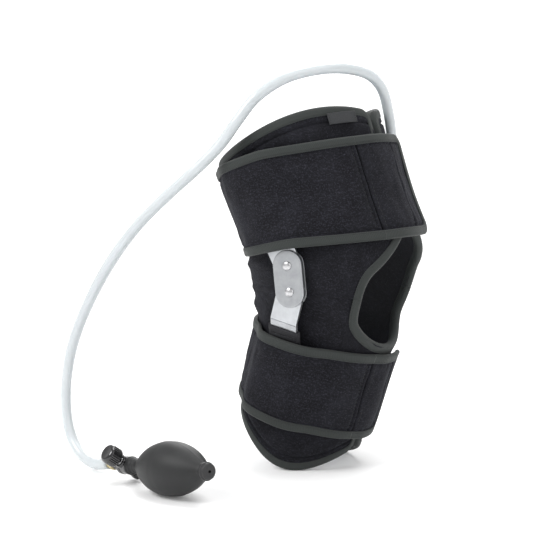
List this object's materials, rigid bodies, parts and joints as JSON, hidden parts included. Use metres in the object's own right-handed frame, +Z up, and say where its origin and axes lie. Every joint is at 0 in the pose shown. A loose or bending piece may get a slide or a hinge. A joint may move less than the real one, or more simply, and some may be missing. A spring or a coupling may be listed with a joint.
{
  "type": "cold compression knee wrap",
  "caption": "Hinged knee wrap with a thigh cuff and a calf cuff, gel packs, an air chamber, a kneecap opening, peel-open straps and a hand pump on a hose.",
  "frame": {"origin": "centre of the calf opening, on the surface the wrap stands on, straight under the hinge line", "axes": "+Z up along the leg, +X to the front of the knee, -Y to the lateral side, where the hose and pump are"},
  "size_m": [0.303, 0.2902, 0.3587],
  "materials": {
    "loop_fabric": "brushed loop pile",
    "strap_fabric": "brushed loop pile",
    "lining": "soft knit",
    "gel_film": "flexible film over gel",
    "air_film": "welded film",
    "edge_tape": "elastic binding tape",
    "hook_nylon": "hook tape",
    "woven_label": "plain woven tab",
    "pocket_fabric": "plain weave",
    "stay_aluminium": "bright rolled",
    "plate_aluminium": "tumbled satin",
    "rivet_metal": "polished",
    "matt_black_plastic": "fine moulded",
    "clear_tube": "milky translucent",
    "ivory_plastic": "translucent",
    "gloss_black_plastic": "polished moulded",
    "spring_steel": "drawn wire",
    "bulb_rubber": "matt"
  },
  "bodies": {
    "thigh": {"thigh_shell": "loop_fabric", "thigh_lining": "lining", "thigh_air_chamber": "air_film", "thigh_edge_binding": "edge_tape", "thigh_gel_pack_lateral": "gel_film", "thigh_gel_pack_medial": "gel_film", "thigh_strap": "strap_fabric", "thigh_strap_binding": "edge_tape", "label_tab": "woven_label", "lateral_upper_pocket": "pocket_fabric", "medial_upper_pocket": "pocket_fabric", "lateral_upper_stay": "stay_aluminium", "medial_upper_stay": "stay_aluminium", "port_flange": "matt_black_plastic", "port_elbow": "matt_black_plastic", "air_hose": "clear_tube", "hose_ferrule": "ivory_plastic", "pump_valve_body": "gloss_black_plastic", "pump_valve_cap": "gloss_black_plastic", "release_spring": "spring_steel", "pump_bulb": "bulb_rubber", "pump_inlet_valve": "matt_black_plastic"},
    "lateral_plates": {"lateral_outer_plate": "plate_aluminium", "lateral_inner_plate": "plate_aluminium", "lateral_rivets": "rivet_metal", "knee_panel": "loop_fabric", "patella_binding": "edge_tape", "air_chamber_link": "air_film"},
    "medial_plates": {"medial_outer_plate": "plate_aluminium", "medial_inner_plate": "plate_aluminium", "medial_rivets": "rivet_metal"},
    "calf": {"calf_shell": "loop_fabric", "calf_lining": "lining", "calf_air_chamber": "air_film", "calf_edge_binding": "edge_tape", "calf_gel_pack_lateral": "gel_film", "calf_gel_pack_medial": "gel_film", "calf_strap": "strap_fabric", "calf_strap_binding": "edge_tape", "lateral_lower_pocket": "pocket_fabric", "medial_lower_pocket": "pocket_fabric", "lateral_lower_stay": "stay_aluminium", "medial_lower_stay": "stay_aluminium"},
    "thigh_tab": {"thigh_strap_tab": "strap_fabric", "thigh_tab_binding": "edge_tape", "thigh_hook_patch": "hook_nylon"},
    "calf_tab": {"calf_strap_tab": "strap_fabric", "calf_tab_binding": "edge_tape", "calf_hook_patch": "hook_nylon"},
    "release_button": {"release_button": "gloss_black_plastic"}
  },
  "joints": [
    {"name": "lateral_upper_pivot", "type": "hinge", "parent": "thigh", "child": "lateral_plates", "pos_m": [-0.00118, -0.0797, 0.18519], "axis": [0, 1, 0], "range_deg": [-18, 16], "deforming": ["knee_panel", "patella_binding", "air_chamber_link"]},
    {"name": "lateral_lower_pivot", "type": "hinge", "parent": "lateral_plates", "child": "calf", "pos_m": [0.00118, -0.0797, 0.16281], "axis": [0, 1, 0], "range_deg": [-18, 16]},
    {"name": "medial_upper_pivot", "type": "hinge", "parent": "thigh", "child": "medial_plates", "pos_m": [-0.00118, 0.0797, 0.18519], "axis": [0, 1, 0], "range_deg": [-18, 16]},
    {"name": "thigh_strap_peel", "type": "hinge", "parent": "thigh", "child": "thigh_tab", "pos_m": [0.06012, -0.04291, 0.255], "axis": [0.342, 0, -0.9397], "range_deg": [0, 95]},
    {"name": "calf_strap_peel", "type": "hinge", "parent": "calf", "child": "calf_tab", "pos_m": [0.04965, -0.02614, 0.06466], "axis": [-0.2756, 0, -0.9613], "range_deg": [0, 95]},
    {"name": "release_button_press", "type": "slide", "parent": "thigh", "child": "release_button", "axis": [0.3758, 0.7316, -0.5687], "range_m": [0, 0.0025], "stiffness_N_per_m": 900, "springref_m": -0.002, "deforming": ["release_spring"]}
  ],
  "couplings": [
    {"joint": "lateral_lower_pivot", "follows": "lateral_upper_pivot", "ratio": 1},
    {"joint": "medial_upper_pivot", "follows": "lateral_upper_pivot", "ratio": 1}
  ]
}
